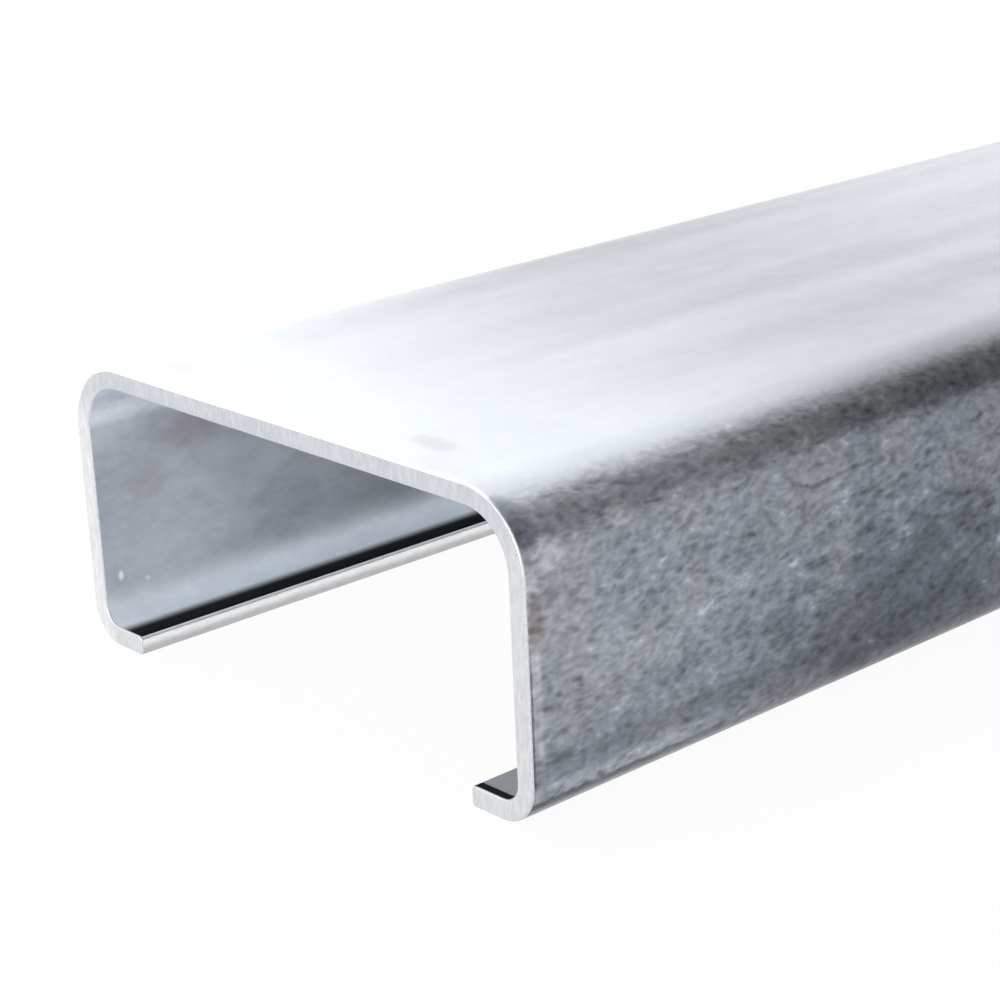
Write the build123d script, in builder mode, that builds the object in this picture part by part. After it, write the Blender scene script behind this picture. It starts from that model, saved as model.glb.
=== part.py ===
import os

from build123d import *

# A lipped C-channel, roll-formed from one strip of galvanized steel.
# It lies with its web up, on its two lips. X runs across the web, Y along the stock and Z up.
# The origin is on the floor, below the middle of the stock.

# Sizes in millimetres
stock_length = 1000.0
web_width = 100.0  # over the outsides of the flanges
flange_depth = 45.0  # from the top of the web to the underside of the lips
lip_depth = 12.0  # from the outside of a flange to its slit edge
sheet_thickness = 3.0
web_bend_radius = 8.0  # inside of the bend between web and flange
lip_bend_radius = 3.0  # inside of the bend between flange and lip
slit_edge_radius = 0.6  # the strip's long edges, slit and then coated
cut_edge_radius = 0.3  # the burr taken off round the sawn ends

# Places in the section, which follow from the sizes
flange_outside = web_width / 2
slit_edge = flange_outside - lip_depth
web_bend_outside = web_bend_radius + sheet_thickness
lip_bend_outside = lip_bend_radius + sheet_thickness

# The section is the strip's outer face, from one slit edge round to the other, thickened inwards
with BuildPart() as c_channel:
    with BuildSketch(Plane.XZ) as section:
        with BuildLine() as strip:
            FilletPolyline(
                (-slit_edge, 0),
                (-flange_outside, 0),
                (-flange_outside, flange_depth),
                (flange_outside, flange_depth),
                (flange_outside, 0),
                (slit_edge, 0),
                radius=[lip_bend_outside, web_bend_outside, web_bend_outside, lip_bend_outside],
            )
            offset(amount=sheet_thickness, side=Side.RIGHT)
        make_face()
        slit_edges = section.edges().filter_by(Axis.Y).group_by(SortBy.LENGTH)[0]
        fillet(slit_edges.vertices(), radius=slit_edge_radius)
    extrude(amount=stock_length / 2, both=True)

    # Both sawn ends, all the way round the section
    ends = c_channel.faces().filter_by(Axis.Y)
    fillet(ends.edges(), radius=cut_edge_radius)

c_channel.part.label = "c_channel"

os.makedirs("parts", exist_ok=True)
export_step(c_channel.part, "parts/c_channel.step")
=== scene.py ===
import math

import bmesh
import bpy
from mathutils import Matrix, Vector, noise


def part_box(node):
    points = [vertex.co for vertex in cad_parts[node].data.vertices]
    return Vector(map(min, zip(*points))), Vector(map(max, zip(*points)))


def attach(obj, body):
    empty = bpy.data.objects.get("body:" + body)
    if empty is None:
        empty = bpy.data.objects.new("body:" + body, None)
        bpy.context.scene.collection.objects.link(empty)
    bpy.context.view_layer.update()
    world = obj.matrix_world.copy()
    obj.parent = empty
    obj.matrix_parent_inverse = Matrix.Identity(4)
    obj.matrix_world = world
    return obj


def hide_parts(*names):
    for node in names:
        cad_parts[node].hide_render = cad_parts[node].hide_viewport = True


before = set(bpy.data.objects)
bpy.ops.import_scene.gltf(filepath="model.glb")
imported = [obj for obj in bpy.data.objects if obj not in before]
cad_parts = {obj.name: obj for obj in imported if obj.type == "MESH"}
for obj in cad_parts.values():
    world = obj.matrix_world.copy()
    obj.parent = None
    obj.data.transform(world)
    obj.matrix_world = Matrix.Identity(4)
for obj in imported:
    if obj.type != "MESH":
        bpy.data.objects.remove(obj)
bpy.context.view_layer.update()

scene = bpy.context.scene


# The view of the photograph: the near end of the channel, from its right and above

viewPoint = {
    "place": (0.26519, -0.69190, 0.14392),  # metres
    "turn": 48.781,  # degrees to the left of straight along the stock
    "dip": 18.903,  # degrees below level
    "roll": -2.510,
    "sensor": 36.0,  # millimetres
    "lens": 90.248,
    "nearest": 0.01,
    "farthest": 50.0,
}


def placeCamera(v):
    data = bpy.data.cameras.new("photoCamera")
    data.sensor_width = v["sensor"]
    data.lens = v["lens"]
    data.clip_start = v["nearest"]
    data.clip_end = v["farthest"]
    camera = bpy.data.objects.new("photoCamera", data)
    scene.collection.objects.link(camera)
    aim = Matrix.Rotation(math.radians(v["turn"]), 4, "Z")
    aim = aim @ Matrix.Rotation(math.radians(90.0 - v["dip"]), 4, "X")
    aim = aim @ Matrix.Rotation(math.radians(v["roll"]), 4, "Z")
    camera.matrix_world = Matrix.Translation(v["place"]) @ aim
    scene.camera = camera


placeCamera(viewPoint)
print("camera placed")


# Shader sums are written with Python's own signs

class Wire:
    def __init__(self, tree, socket):
        self.tree = tree
        self.socket = socket

    def sum(self, operation, *parts):
        return self.tree.add("ShaderNodeMath", {"operation": operation}, dict(enumerate(parts)))

    def __add__(self, other):
        return self.sum("ADD", self, other)

    def __sub__(self, other):
        return self.sum("SUBTRACT", self, other)

    def __mul__(self, other):
        return self.sum("MULTIPLY", self, other)

    def __rsub__(self, other):
        return self.sum("SUBTRACT", other, self)

    def __abs__(self):
        return self.sum("ABSOLUTE", self)

    def orMore(self, other):
        return self.sum("MAXIMUM", self, other)

    __radd__ = __add__
    __rmul__ = __mul__


class Tree:
    lineCore = 0.3  # share of a line's reach that is painted in full
    spotCore = 0.35  # and of a spot's

    def __init__(self, nodeTree):
        self.nodeTree = nodeTree
        nodeTree.nodes.clear()

    def add(self, kind, settings=None, sockets=None, out=0):
        node = self.nodeTree.nodes.new(kind)
        for name, value in (settings or {}).items():
            setattr(node, name, value)
        for name, value in (sockets or {}).items():
            if isinstance(value, Wire):
                self.nodeTree.links.new(value.socket, node.inputs[name])
            else:
                node.inputs[name].default_value = value
        outs = [Wire(self, socket) for socket in node.outputs]
        return outs if out is None else outs[out] if outs else None

    def mixColour(self, share, under, over):
        return self.add("ShaderNodeMix", {"data_type": "RGBA"}, {0: share, 6: under, 7: over}, out=2)

    def vector(self, operation, first, second, out=0):
        return self.add("ShaderNodeVectorMath", {"operation": operation}, {0: first, 1: second}, out)

    def dimmed(self, colour, gain):
        return self.add("ShaderNodeVectorMath", {"operation": "SCALE"}, {0: colour, "Scale": gain})

    def between(self, value, low, high):  # 0 up to low, 1 from high, smooth in between
        settings = {"interpolation_type": "SMOOTHSTEP"}
        return self.add("ShaderNodeMapRange", settings, {0: value, 1: low, 2: high})

    def around(self, value, middle, reach):  # 1 at the middle, 0 from reach away
        return self.between(abs(value - middle), reach, reach * self.lineCore)

    def spot(self, place, wobble, at, reach):  # 1 round a place on the piece, 0 from its reach away
        apart = self.vector("DIVIDE", self.vector("SUBTRACT", place, at), reach)
        return self.between(self.vector("LENGTH", apart, (0, 0, 0), out=1) + wobble, 1.0, self.spotCore)

    def noise(self, place, size, detail, rough, warp=0.0):  # size in metres
        sockets = {"Vector": place, "Scale": 1.0 / size, "Detail": detail}
        sockets.update({"Roughness": rough, "Distortion": warp})
        return self.add("ShaderNodeTexNoise", {}, sockets)


def newMaterial(name):
    material = bpy.data.materials.new(name)
    material.use_nodes = True
    return material, Tree(material.node_tree)


def grey(level, blue=0.0):  # a colour from its lightness, cooler with more blue
    return (level * (1.0 - 0.8 * blue), level, level * (1.0 + 1.2 * blue), 1.0)


# The floor and the light

studio = {
    "floorSize": 12.0,
    "floorSteps": 8,
    "floorColour": grey(0.86),
    "floorGlow": 0.95,  # share of plain white in what the floor shows
    "white": grey(1.0),
    "rightOverhead": 0.34,  # the room is white, and duller only overhead on the right
    "leftFrom": (0.12, -0.14),  # of a look's sideways part
    "overheadFrom": (0.15, 0.45),  # of its upward part
}
lamps = {
    "window": {"strength": 1.45, "angle": 88.0, "source": (-0.70, 0.56, 0.50)},
    "lowKey": {"strength": 0.35, "angle": 46.0, "source": (-0.95, 0.20, 0.20)},
    "softFill": {"strength": 0.5, "angle": 60.0, "source": (-0.5, -0.8, 0.4)},
    "frontFill": {"strength": 2.3, "angle": 44.0, "source": (0.32, -0.9, 0.12)},
}


def shownRays(tree):  # 1 where the camera, a reflection or a clear material looks
    path = tree.nodeTree.nodes.new("ShaderNodeLightPath")
    rays = ("Is Camera Ray", "Is Glossy Ray", "Is Transmission Ray")
    seen, mirrored, through = [Wire(tree, path.outputs[name]) for name in rays]
    return seen.orMore(mirrored).orMore(through)


def addFloor(v):
    bm = bmesh.new()
    steps = v["floorSteps"]
    bmesh.ops.create_grid(bm, x_segments=steps, y_segments=steps, size=v["floorSize"])
    mesh = bpy.data.meshes.new("paleFloor")
    bm.to_mesh(mesh)
    bm.free()
    material, tree = newMaterial("paleFloor")
    matt = tree.add("ShaderNodeBsdfDiffuse", {}, {"Color": v["floorColour"]})
    glow = tree.add("ShaderNodeEmission", {}, {"Color": v["white"], "Strength": 1.0})
    share = shownRays(tree) * v["floorGlow"]
    both = tree.add("ShaderNodeMixShader", {}, {0: share, 1: matt, 2: glow})
    tree.add("ShaderNodeOutputMaterial", {}, {"Surface": both})
    mesh.materials.append(material)
    floor = bpy.data.objects.new("paleFloor", mesh)
    scene.collection.objects.link(floor)


def addRoom(v):
    world = bpy.data.worlds.new("paleRoom")
    world.use_nodes = True
    tree = Tree(world.node_tree)
    look = tree.add("ShaderNodeTexCoord", out=0)
    across, _, up = tree.add("ShaderNodeSeparateXYZ", {}, {0: look}, out=None)
    left = tree.between(across, *v["leftFrom"])
    overhead = tree.between(up, *v["overheadFrom"])
    strength = 1.0 - (1.0 - v["rightOverhead"]) * overhead * (1.0 - left)
    shine = tree.add("ShaderNodeBackground", {}, {"Color": v["white"], "Strength": strength})
    tree.add("ShaderNodeOutputWorld", {}, {"Surface": shine})
    scene.world = world


def addLamp(name, v):
    data = bpy.data.lights.new(name, "SUN")
    data.energy = v["strength"]
    data.angle = math.radians(v["angle"])
    lamp = bpy.data.objects.new(name, data)
    scene.collection.objects.link(lamp)
    lamp.rotation_euler = Vector(v["source"]).to_track_quat("Z", "Y").to_euler()


addFloor(studio)
addRoom(studio)
for lampName, lampValues in lamps.items():
    addLamp(lampName, lampValues)
scene.view_settings.view_transform = "Standard"
print("floor and light ready")


# The zinc: a satin coat with a fine grain, drawn out a little along the stock by the rolls

zincGrain = {
    "drawn": (1.0, 0.52, 1.0),  # the grain is longer along the stock
    "streakDrawn": (1.0, 0.10, 1.0),  # and the web's streaks much longer
    "patchSize": 0.018,
    "cloudSize": 0.0032,
    "grainSize": 0.00095,
    "fleckSize": 0.0014,
    "fleckWarp": 0.25,
    "fleckEdge": 3.2,  # how fast a fleck's bright line falls off
    "fleckMiddle": 0.72,
    "streakSize": 0.010,
    "streakFrom": (-0.490, -0.430),  # along the stock
    "webPatchShow": 0.12,
    "speckFrom": (0.62, 0.72),
    "tintRise": 5.0,  # a metre
    "tintMiddle": 0.022,
    "tintFrom": (0.40, 0.62),
    "flatFrom": (0.0415, 0.0447),  # the web's flat part, by height
    "lipTop": 0.0045,
    "farFade": 0.45,  # the painted light's falling off away from the sawn end grows weaker again
    "farFrom": (-0.40, -0.25),
    "fadePatches": 0.4,
    "footFrom": (0.020, 0.002),
    "bendAt": (0.0408, 0.0040),  # middle and reach, by height
    "bendFrom": (-0.500, -0.400),  # along the stock
    "wobble": 1.2,  # how uneven a mark's outline is
    "roughSpread": 0.12,
    "cloudRelief": 0.45,
    "grainRelief": 0.55,
    "reliefDepth": 0.0003,
    "metallic": 0.92,
}
outerZinc = {
    "name": "outerZinc",
    # painted light: the web is lighter than the flanges, and the flanges darker as painted shade, for how
    # the light falls on each
    "webColourPaintedLight": grey(0.51, 0.06),
    "flangeColour": grey(0.307, 0.12),
    "plainColour": grey(0.307, 0.075),  # patches that are less blue, more of them higher up
    "lipToneAndPaintedLight": grey(0.30, 0.12),
    "webFrom": (0.0375, 0.0441),
    "lipFrom": 0.0065,
    "grainParts": (0.13, 0.25, 0.33, 0.15),  # of patches, clouds, grain and flecks in the mottle
    "grainShow": 1.52,
    "webGrainShow": 0.10,
    "lipGrainLess": 0.0,
    "streakShow": 0.55,
    "speckShow": 0.25,
    "roughness": 0.34,
    "webRoughness": 0.42,
    "lipRoughness": 0.34,
    "relief": 0.5,
    "webRelief": 0.02,
    "fadeFrom": (-0.500, -0.405),
    "endFade": 0.28,  # painted light: the sheet is lighter by its sawn end
    "webEndFade": 0.40,
    "lipFadeLess": 0.0,
    "footFade": 0.29,  # and darker towards the lips
    "bendPaintedShade": 0.48,  # painted shade: the bend is darker away from the end, where it mirrors a dark part of the room
    "marks": [  # place, reach, colour and share of each
        # the rust and the dark corner beside the sawn end, and two pale spots
        ((0.050, -0.4985, 0.0280), (0.004, 0.0015, 0.0060), (0.17, 0.11, 0.10, 1.0), 0.55),
        ((0.047, -0.4985, 0.0400), (0.006, 0.0040, 0.0060), (0.09, 0.10, 0.16, 1.0), 0.55),
        ((0.050, -0.4955, 0.0368), (0.004, 0.0035, 0.0030), grey(0.62, 0.05), 0.45),
        ((0.050, -0.4824, 0.0388), (0.004, 0.0030, 0.0025), grey(0.62, 0.02), 0.40),
        # the brown spots along the foot, and above them a dark patch of painted shade, where the flange
        # mirrors a darker floor
        ((0.050, -0.4534, 0.0045), (0.004, 0.0060, 0.0025), (0.19, 0.14, 0.17, 1.0), 0.55),
        ((0.050, -0.4343, 0.0050), (0.004, 0.0120, 0.0030), (0.17, 0.13, 0.16, 1.0), 0.60),
        ((0.050, -0.4260, 0.0110), (0.006, 0.0340, 0.0200), grey(0.11, 0.20), 0.60),
        # the two smudges on the web
        ((-0.033, -0.4923, 0.0450), (0.006, 0.0030, 0.0040), (0.33, 0.28, 0.28, 1.0), 0.30),
        ((0.0245, -0.4917, 0.0450), (0.006, 0.0030, 0.0040), (0.33, 0.28, 0.27, 1.0), 0.35),
    ],
}
innerZinc = {
    "name": "innerZinc",
    # painted light: the inner web and its bends are near white, so that the lip bend mirrors them bright
    "webColourPaintedLight": grey(0.92, 0.05),
    "flangeColour": grey(0.485, 0.12),
    "plainColour": grey(0.485, 0.09),
    # painted light: the inner lip bend is near white, a lit band along it
    "lipToneAndPaintedLight": grey(0.91, 0.04),
    "webFrom": (0.035, 0.0428),
    "lipFrom": 0.0112,
    "grainParts": (0.45, 0.35, 0.20, 0.0),
    "grainShow": 0.55,
    "webGrainShow": 0.25,
    "lipGrainLess": 0.7,
    "streakShow": 0.0,
    "speckShow": 0.0,
    "roughness": 0.42,
    "webRoughness": 0.58,
    "lipRoughness": 0.80,
    "relief": 0.10,
    "webRelief": 0.03,
    "fadeFrom": (-0.491, -0.433),
    # painted light: inside, the sheet is lighter by its sawn end, where the light comes in
    "endFade": 0.54,
    "webEndFade": 0.10,
    "lipFadeLess": 1.0,
    "footFade": 0.0,
    "bendPaintedShade": 0.0,
    "marks": [
        # the two zinc specks, with their glint painted in as near-white spots
        ((-0.047, -0.4968, 0.0099), (0.002, 0.0007, 0.0011), grey(0.95), 1.0),
        ((-0.047, -0.4920, 0.0082), (0.002, 0.0006, 0.0006), grey(0.90), 0.8),
        # the dark smudge and the two rusty ones, and the pale corner, painted light where the light comes
        # in at the open end
        ((-0.047, -0.4640, 0.0140), (0.004, 0.0085, 0.0075), grey(0.28, 0.12), 0.32),
        ((-0.047, -0.4827, 0.0300), (0.004, 0.0070, 0.0045), (0.36, 0.30, 0.30, 1.0), 0.40),
        ((-0.047, -0.4910, 0.0230), (0.004, 0.0050, 0.0030), (0.40, 0.35, 0.35, 1.0), 0.35),
        ((-0.046, -0.5000, 0.0400), (0.014, 0.0170, 0.0150), grey(0.80, 0.08), 0.60),
    ],
}


def layOut(tree, v, g):  # the places and noises that the zinc is mixed from
    place = tree.add("ShaderNodeTexCoord", out=3)
    across, along, height = tree.add("ShaderNodeSeparateXYZ", {}, {0: place}, out=None)
    drawn = tree.vector("MULTIPLY", place, g["drawn"])
    return {
        "place": place,
        "drawn": drawn,
        "across": across,
        "along": along,
        "height": height,
        "web": tree.between(height, *v["webFrom"]),
        "lip": tree.between(height, v["lipFrom"], g["lipTop"]),
        "flat": tree.between(height, *g["flatFrom"]),
        "patches": tree.noise(place, g["patchSize"], 2.0, 0.5),
        "clouds": tree.noise(drawn, g["cloudSize"], 2.0, 0.55),
        "grain": tree.noise(drawn, g["grainSize"], 1.0, 0.45),
    }


def zincColour(tree, v, g, at, paints):
    tint = at["patches"] + g["tintRise"] * (at["height"] - g["tintMiddle"])
    body = tree.mixColour(tree.between(tint, *g["tintFrom"]), v["flangeColour"], v["plainColour"])
    # painted light: the web gets a lighter colour than the flanges
    body = tree.mixColour(at["web"], body, v["webColourPaintedLight"])
    # painted light on the inner lip bend; outside, the lip keeps the flange's tone
    body = tree.mixColour(at["lip"], body, v["lipToneAndPaintedLight"])
    for paint, values in paints:
        body = paint(tree, values, at, body)
    wobble = g["wobble"] * (at["clouds"] - 0.5)
    for middle, reach, colour, share in v["marks"]:
        body = tree.mixColour(tree.spot(at["place"], wobble, middle, reach) * share, body, colour)
    return body


def zincMottle(tree, v, g, at):  # how far the grain and the streaks go above and below the plain level
    lines = tree.noise(at["drawn"], g["fleckSize"], 1.0, 0.5, g["fleckWarp"])
    flecks = 1.0 - g["fleckEdge"] * abs(lines - 0.5)
    streaks = tree.noise(tree.vector("MULTIPLY", at["place"], g["streakDrawn"]), g["streakSize"], 2.0, 0.5)
    inPatches, inClouds, inGrain, inFlecks = v["grainParts"]
    mottle = inPatches * (at["patches"] - 0.5) + inClouds * (at["clouds"] - 0.5)
    mottle = mottle + inGrain * (at["grain"] - 0.5) + inFlecks * (flecks - g["fleckMiddle"])
    specks = v["speckShow"] * tree.between(0.5 * at["grain"] + 0.5 * at["clouds"], *g["speckFrom"])
    show = v["grainShow"] - (v["grainShow"] - v["webGrainShow"]) * at["flat"]
    show = show * (1.0 - v["lipGrainLess"] * at["lip"])
    streaked = v["streakShow"] * tree.between(at["along"], *g["streakFrom"]) * (streaks - 0.5)
    onWeb = at["flat"] * (g["webPatchShow"] * (at["patches"] - 0.5) + streaked)
    return show * (2.0 * mottle + specks) + onWeb


def zincPaintedLightAndShade(tree, v, g, at):  # painted light and shade: the sheet lighter by its sawn end, painted shade on the bend, and darker at the foot
    # painted light: the colour dims with distance from the sawn end
    fade = v["endFade"] + (v["webEndFade"] - v["endFade"]) * at["web"]
    fade = fade * tree.between(at["along"], *v["fadeFrom"])
    fade = fade * (1.0 - g["farFade"] * tree.between(at["along"], *g["farFrom"]))
    fade = fade * (1.0 + g["fadePatches"] * (at["patches"] - 0.5))
    fade = fade * (1.0 - v["lipFadeLess"] * at["lip"])
    foot = v["footFade"] * tree.between(at["height"], *g["footFrom"])
    # painted shade along the bend, away from the sawn end
    bend = tree.around(at["height"], *g["bendAt"]) * tree.between(at["along"], *g["bendFrom"])
    return (1.0 - fade) * (1.0 - foot) * (1.0 - v["bendPaintedShade"] * bend)


def zincCoat(v, g, paints):
    material, tree = newMaterial(v["name"])
    at = layOut(tree, v, g)
    body = zincColour(tree, v, g, at, paints)
    gain = (1.0 + zincMottle(tree, v, g, at)) * zincPaintedLightAndShade(tree, v, g, at)
    rough = v["roughness"] + (v["webRoughness"] - v["roughness"]) * at["web"]
    rough = rough + (v["lipRoughness"] - v["roughness"]) * at["lip"]
    rough = rough + g["roughSpread"] * (at["clouds"] - 0.5)
    relief = g["cloudRelief"] * at["clouds"] + g["grainRelief"] * at["grain"]
    relief = relief * (v["relief"] + (v["webRelief"] - v["relief"]) * at["flat"])
    bump = tree.add("ShaderNodeBump", {}, {"Strength": 1.0, "Distance": g["reliefDepth"], "Height": relief})
    sockets = {"Base Color": tree.dimmed(body, gain), "Metallic": g["metallic"]}
    sockets.update({"Roughness": rough, "Normal": bump})
    skin = tree.add("ShaderNodeBsdfPrincipled", {}, sockets)
    tree.add("ShaderNodeOutputMaterial", {}, {"Surface": skin})
    return material


# Painted shade inside: a black band of painted shade along the left lip, the right lip kept a plain grey
# without the lit band of the left, and a dark line of painted shade at its end

paintedLipShade = {
    "bandTop": (0.0036, 0.0032),
    "bandFrom": (-0.0442, -0.0411),
    "bandTo": (0.0, -0.01),
    "bandColour": grey(0.012, 0.1),
    "rightFrom": (0.034, 0.036),
    "rightTop": (0.014, 0.006),
    "rightColour": grey(0.43, 0.05),
    "rightShare": 0.85,
    "lineFrom": (-0.4982, -0.4986),
    "lineTop": (0.014, 0.010),
    "lineColour": grey(0.02),
}


def shadeLips(tree, v, at, body):
    # painted shade: the black band along the left lip
    band = tree.between(at["height"], *v["bandTop"]) * tree.between(at["across"], *v["bandFrom"])
    body = tree.mixColour(band * tree.between(at["across"], *v["bandTo"]), body, v["bandColour"])
    right = tree.between(at["across"], *v["rightFrom"])
    dull = v["rightShare"] * right * tree.between(at["height"], *v["rightTop"])
    body = tree.mixColour(dull, body, v["rightColour"])
    # painted shade: the dark line at the right lip's end
    line = tree.between(at["along"], *v["lineFrom"]) * right * tree.between(at["height"], *v["lineTop"])
    return tree.mixColour(line, body, v["lineColour"])


# The saw left a pale strip beside the cut, with a fine line in it and a dark seam at its edge

sawMarks = {
    "stripFrom": (-0.4973, -0.4981),
    "stripFoot": (0.004, 0.010),
    "stripTop": (0.040, 0.034),
    "stripColour": grey(0.5, 0.05),
    "stripShare": 0.55,
    "lineAt": (-0.49818, 0.0002),  # middle and reach
    "lineWaver": 0.0003,
    "lineBreaks": (0.35, 0.6),
    "lineColour": grey(0.7),
    "lineShare": 0.15,
    "seamAt": (-0.49950, 0.0003),
    "seamTop": (0.027, 0.021),
    "seamColour": (0.10, 0.08, 0.11, 1.0),
    "seamShare": 0.65,
}


def scribeEnd(tree, v, at, body):
    strip = tree.between(at["along"], *v["stripFrom"]) * tree.between(at["height"], *v["stripFoot"])
    strip = strip * tree.between(at["height"], *v["stripTop"])
    body = tree.mixColour(v["stripShare"] * strip, body, v["stripColour"])
    line = tree.around(at["along"] + v["lineWaver"] * at["clouds"], *v["lineAt"])
    line = line * tree.between(at["clouds"], *v["lineBreaks"])
    body = tree.mixColour(v["lineShare"] * line * strip, body, v["lineColour"])
    seam = tree.around(at["along"], *v["seamAt"]) * tree.between(at["height"], *v["seamTop"])
    return tree.mixColour(v["seamShare"] * seam, body, v["seamColour"])


# Painted reflection and shade along the foot: a pale band where the lip bend mirrors the bright floor,
# between two darker lines, the lower one painted shade, and a lighter underside; the pale band and lower
# line stronger by the sawn end

footReflectionPaint = {
    "waver": 0.0006,
    "nearFrom": (-0.452, -0.488),
    "upperAt": (0.0085, 0.0017),  # middle and reach, by height
    "upperColour": grey(0.16, 0.1),
    "upperShare": 0.33,
    "paleAt": (0.0049, 0.0017),
    "paleColour": grey(0.60, 0.08),
    "paleShare": 0.15,
    "paleNear": 0.42,
    "lowerAt": (0.0031, 0.0009),
    "lowerColour": grey(0.10, 0.1),
    "lowerShare": 0.25,
    "lowerNear": 0.60,
    "undersideFrom": (0.0022, 0.0014),
    "undersideColour": grey(0.6),
    "undersideShare": 0.50,
}


def paintFootReflection(tree, v, at, body):
    height = at["height"] + v["waver"] * (at["grain"] - 0.5)
    near = tree.between(at["along"], *v["nearFrom"])
    body = tree.mixColour(v["upperShare"] * tree.around(height, *v["upperAt"]), body, v["upperColour"])
    # painted reflection: the pale band where the bend mirrors the floor
    pale = tree.around(height, *v["paleAt"]) * (v["paleShare"] + v["paleNear"] * near)
    body = tree.mixColour(pale, body, v["paleColour"])
    # painted shade: the dark line low on the bend
    lower = tree.around(height, *v["lowerAt"]) * (v["lowerShare"] + v["lowerNear"] * near)
    body = tree.mixColour(lower, body, v["lowerColour"])
    # painted light: a lighter underside below the bend
    underside = v["undersideShare"] * tree.between(height, *v["undersideFrom"])
    return tree.mixColour(underside, body, v["undersideColour"])


# A fine dark crease in the flange, high at both ends and low between

crease = {
    "height": 0.0331,
    "nearRise": 0.0014,
    "nearFrom": (-0.4462, -0.4512),
    "farRise": 0.0007,
    "farFrom": (-0.4450, -0.4385),
    "startsFrom": (-0.4516, -0.4498),
    "endsFrom": (-0.4330, -0.4356),
    "waver": 0.0008,
    "reach": 0.00055,
    "colour": grey(0.08, 0.1),
    "share": 0.45,
}


def creaseFlange(tree, v, at, body):
    bent = v["height"] + v["nearRise"] * tree.between(at["along"], *v["nearFrom"])
    bent = bent + v["farRise"] * tree.between(at["along"], *v["farFrom"])
    length = tree.between(at["along"], *v["startsFrom"]) * tree.between(at["along"], *v["endsFrom"])
    line = tree.around(at["height"] - bent + v["waver"] * (at["grain"] - 0.5), 0.0, v["reach"])
    return tree.mixColour(v["share"] * line * length, body, v["colour"])


# The cut faces: the sawn ends are bright, the slit edges are burnished above and torn below, and the
# rounded rims carry a painted highlight along their top

cutMarks = {
    "size": 0.0006,
    "waver": 0.00016,  # of the line where a top colour starts
    "range": (0.3, 0.7),
    "leftFrom": (-0.044, -0.047),
    "reliefShare": 0.2,
    "reliefDepth": 0.0001,
    "metallic": 0.9,
}
sawnSteel = {
    "name": "sawnSteel",
    "colour": grey(0.67, 0.02),
    "topColour": grey(0.62, 0.05),
    "leftColour": grey(0.78, 0.02),
    "topFrom": (0.034, 0.043),  # the web's end is duller than the flanges'
    "streak": (1.0, 1.0, 0.3),
    "markShow": 0.07,
    "roughness": 0.42,
}
rimSteelHighlight = {
    "name": "rimSteelHighlight",
    "colour": grey(0.64, 0.04),
    # painted highlight: the rim is near white along its top, by the web
    "topColour": grey(0.95, 0.02),
    "leftColour": grey(0.64, 0.04),
    "topFrom": (0.0432, 0.0442),
    "streak": (1.0, 1.0, 1.0),
    "markShow": 0.10,
    "roughness": 0.40,
}
slitSteel = {
    "name": "slitSteel",
    "colour": grey(0.52),
    "topColour": grey(0.93, 0.01),
    "leftColour": grey(0.52),
    "topFrom": (0.0007, 0.0022),
    "streak": (1.0, 0.25, 1.0),
    "markShow": 0.05,
    "roughness": 0.36,
}


def cutSteel(v, m):
    material, tree = newMaterial(v["name"])
    place = tree.add("ShaderNodeTexCoord", out=3)
    across, _, height = tree.add("ShaderNodeSeparateXYZ", {}, {0: place}, out=None)
    marks = tree.noise(tree.vector("MULTIPLY", place, v["streak"]), m["size"], 3.0, 0.6)
    body = tree.mixColour(tree.between(across, *m["leftFrom"]), v["colour"], v["leftColour"])
    top = tree.between(height + m["waver"] * (marks - 0.5), *v["topFrom"])
    body = tree.mixColour(top, body, v["topColour"])
    gain = 1.0 - v["markShow"] + 2.0 * v["markShow"] * tree.between(marks, *m["range"])
    relief = {"Strength": m["reliefShare"], "Distance": m["reliefDepth"], "Height": marks}
    sockets = {"Base Color": tree.dimmed(body, gain), "Metallic": m["metallic"]}
    sockets.update({"Roughness": v["roughness"], "Normal": tree.add("ShaderNodeBump", {}, relief)})
    skin = tree.add("ShaderNodeBsdfPrincipled", {}, sockets)
    tree.add("ShaderNodeOutputMaterial", {}, {"Surface": skin})
    return material


# The channel: one strip of sheet, rolled to its section and drawn out to its length

channel = {
    "sheet": 0.003,
    "lipDepth": 0.012,
    "webBend": 0.011,  # outside radii
    "lipBend": 0.006,
    "lipSteps": 3,
    "lipBendSteps": 8,
    "flangeSteps": 8,
    "webBendSteps": 14,
    "halfWebSteps": 10,
    "lengthSteps": 200,
    "slitRadius": 0.0006,
    "sawnRadius": 0.0003,
    "roundSteps": 3,
    "tornFrom": 0.0003,  # the torn part of the slit edge, up from its underside
    "tornHeight": 0.0014,
    "tornDepth": 0.00010,
    "tornGrain": 400.0,  # lumps a metre
    "tornUneven": 0.3,
    "ripple": 0.00008,  # how far the rolls leave the sheet off flat
    "rippleSize": 0.035,
    "rippleStart": 5.0,  # where in the noise the flanges' ripple starts, and the web's
    "rippleApart": 3.0,
    "webRippleStart": 9.0,
}
samePlace = 1e-6
squareOn = 0.99


def drawOut(bm, edges, way, steps):  # lets the sheet grow straight on
    geom = edges + list({v for e in edges for v in e.verts})
    spun = bmesh.ops.spin(
        bm, geom=geom, cent=(0, 0, 0), axis=(0, 1, 0), dvec=Vector(way) / steps, angle=0, steps=steps
    )
    return [e for e in spun["geom_last"] if isinstance(e, bmesh.types.BMEdge)]


def bendOver(bm, edges, centre, steps):  # lets it turn a right angle
    geom = edges + list({v for e in edges for v in e.verts})
    spun = bmesh.ops.spin(
        bm, geom=geom, cent=centre, axis=(0, 1, 0), dvec=(0, 0, 0), angle=math.radians(90), steps=steps
    )
    return [e for e in spun["geom_last"] if isinstance(e, bmesh.types.BMEdge)]


def everything(bm):
    return bm.verts[:] + bm.edges[:] + bm.faces[:]


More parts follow.
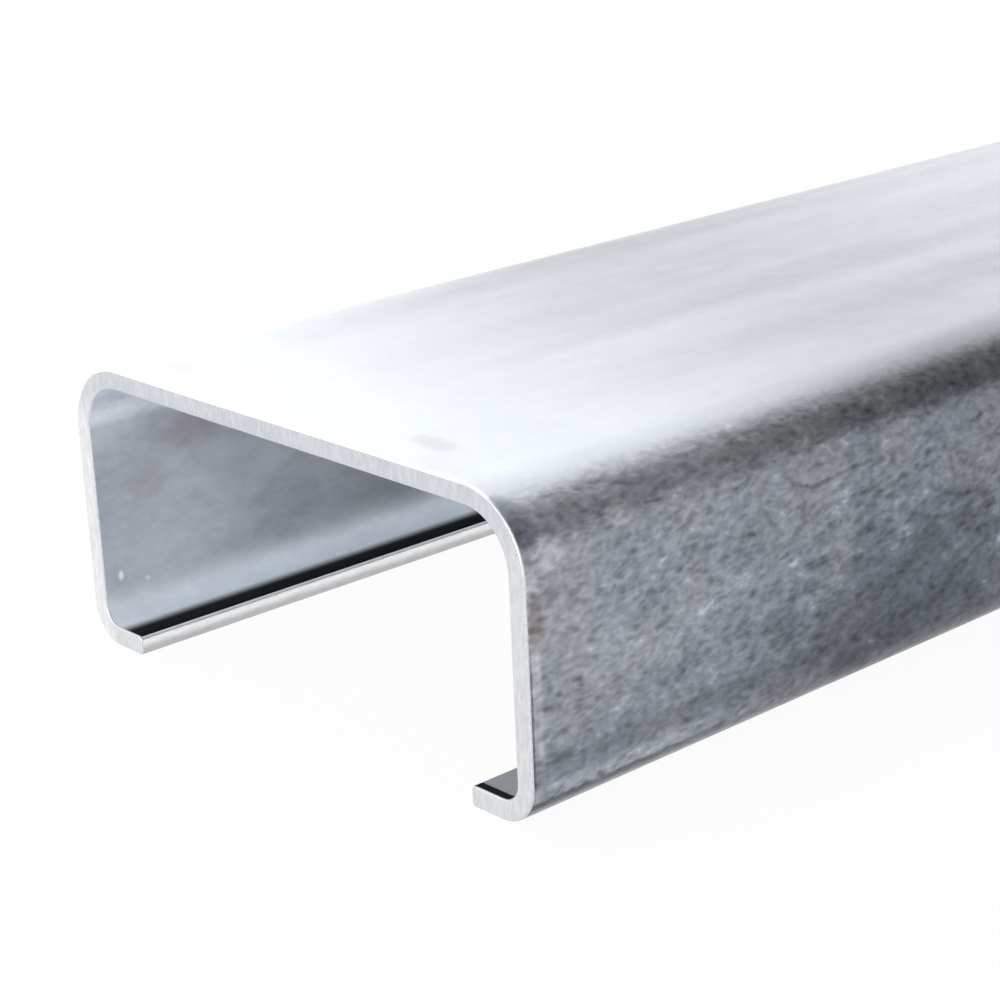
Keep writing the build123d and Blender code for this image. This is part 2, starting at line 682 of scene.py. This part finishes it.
def rollSection(bm, v, low, high):
    halfWidth, top = high.x, high.z
    start = [bm.verts.new((v["lipDepth"] - halfWidth, low.y, z)) for z in (0.0, v["sheet"])]
    edges = [bm.edges.new(start)]
    edges = drawOut(bm, edges, (v["lipBend"] - v["lipDepth"], 0, 0), v["lipSteps"])
    edges = bendOver(bm, edges, (v["lipBend"] - halfWidth, 0, v["lipBend"]), v["lipBendSteps"])
    edges = drawOut(bm, edges, (0, 0, top - v["lipBend"] - v["webBend"]), v["flangeSteps"])
    edges = bendOver(bm, edges, (v["webBend"] - halfWidth, 0, top - v["webBend"]), v["webBendSteps"])
    drawOut(bm, edges, (halfWidth - v["webBend"], 0, 0), v["halfWebSteps"])
    bmesh.ops.mirror(bm, geom=everything(bm), axis="X", merge_dist=samePlace)
    bmesh.ops.remove_doubles(bm, verts=bm.verts[:], dist=samePlace)


def roundEdges(bm, edges, radius, steps):
    bmesh.ops.bevel(
        bm, geom=edges, offset=radius, offset_type="OFFSET", segments=steps, profile=0.5,
        affect="EDGES", material=-1, clamp_overlap=True,
    )


def slitEdges(bm, slit):
    found = []
    for edge in bm.edges:
        a, b = [v.co for v in edge.verts]
        onSlit = abs(abs(a.x) - slit) < samePlace and abs(abs(b.x) - slit) < samePlace
        if onSlit and abs(a.y - b.y) > samePlace:
            found.append(edge)
    return found


def sawnEdges(bm):
    return [e for e in bm.edges if sum(abs(f.normal.y) > squareOn for f in e.link_faces) == 1]


def tearSlit(bm, v, slit):  # the lower part of a slit edge lies a little back
    bmesh.ops.bisect_plane(
        bm, geom=everything(bm), dist=samePlace * 0.1,
        plane_co=(0, 0, v["tornHeight"]), plane_no=(0, 0, 1),
    )
    spare = samePlace * 10
    for vert in bm.verts:
        if abs(vert.co.x) < slit + spare and v["tornFrom"] < vert.co.z < v["tornHeight"] - spare:
            tear = 1.0 + v["tornUneven"] * noise.noise(vert.co * v["tornGrain"])
            vert.co.x += math.copysign(v["tornDepth"] * tear, vert.co.x)


def rippleSheet(bm, v, high):
    size = v["rippleSize"]
    for vert in bm.verts:
        spot = vert.co.copy()
        start = v["rippleStart"] + math.copysign(v["rippleApart"], spot.x)
        side = noise.noise(Vector((start, spot.y, spot.z)) / size)
        flat = noise.noise(Vector((spot.x, spot.y, v["webRippleStart"])) / size)
        vert.co.x -= spot.x / high.x * v["ripple"] * (0.5 + 0.5 * side)
        vert.co.z -= spot.z / high.z * v["ripple"] * (0.5 + 0.5 * flat)


def sortFaces(bm, v, low, high):  # 0 outer zinc, 1 inner zinc, 2 sawn ends, 3 slit edges, 4 rims
    slit = high.x - v["lipDepth"]
    middle = Vector((0, 0, high.z / 2))
    for face in bm.faces:
        centre = face.calc_center_median()
        face.smooth = True
        level = Vector((centre.x, 0, centre.z)) - middle
        if min(centre.y - low.y, high.y - centre.y) < v["sawnRadius"] * 0.8:
            face.material_index = 2 if abs(face.normal.y) > squareOn else 4
        elif abs(centre.x) < slit + v["slitRadius"] * 0.7 and centre.z < v["sheet"]:
            face.material_index = 3
        else:
            face.material_index = 0 if face.normal.dot(level) > 0 else 1


def rollChannel(v):
    low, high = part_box("c_channel")
    slit = high.x - v["lipDepth"]
    bm = bmesh.new()
    rollSection(bm, v, low, high)
    step = Vector((0, (high.y - low.y) / v["lengthSteps"], 0))
    bmesh.ops.spin(
        bm, geom=everything(bm), cent=(0, 0, 0), axis=(0, 1, 0), dvec=step, angle=0, steps=v["lengthSteps"]
    )
    bmesh.ops.recalc_face_normals(bm, faces=bm.faces[:])
    roundEdges(bm, slitEdges(bm, slit), v["slitRadius"], v["roundSteps"])
    roundEdges(bm, sawnEdges(bm), v["sawnRadius"], v["roundSteps"])
    tearSlit(bm, v, slit)
    bmesh.ops.recalc_face_normals(bm, faces=bm.faces[:])
    sortFaces(bm, v, low, high)
    rippleSheet(bm, v, high)
    odd = [e for e in bm.edges if len(e.link_faces) != 2]
    print("channel faces", len(bm.faces), "edges open or doubled", len(odd))
    mesh = bpy.data.meshes.new("zincChannel")
    bm.to_mesh(mesh)
    bm.free()
    rolled = bpy.data.objects.new("zincChannel", mesh)
    scene.collection.objects.link(rolled)
    return rolled


piece = rollChannel(channel)
outerPaints = [(scribeEnd, sawMarks), (paintFootReflection, footReflectionPaint), (creaseFlange, crease)]
innerPaints = [(shadeLips, paintedLipShade)]
finishes = [zincCoat(outerZinc, zincGrain, outerPaints), zincCoat(innerZinc, zincGrain, innerPaints)]
finishes += [cutSteel(v, cutMarks) for v in (sawnSteel, slitSteel, rimSteelHighlight)]
for finish in finishes:
    piece.data.materials.append(finish)
evenNormals = piece.modifiers.new("evenNormals", "WEIGHTED_NORMAL")
evenNormals.keep_sharp = True
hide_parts("c_channel")
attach(piece, "root")
print("channel rolled")
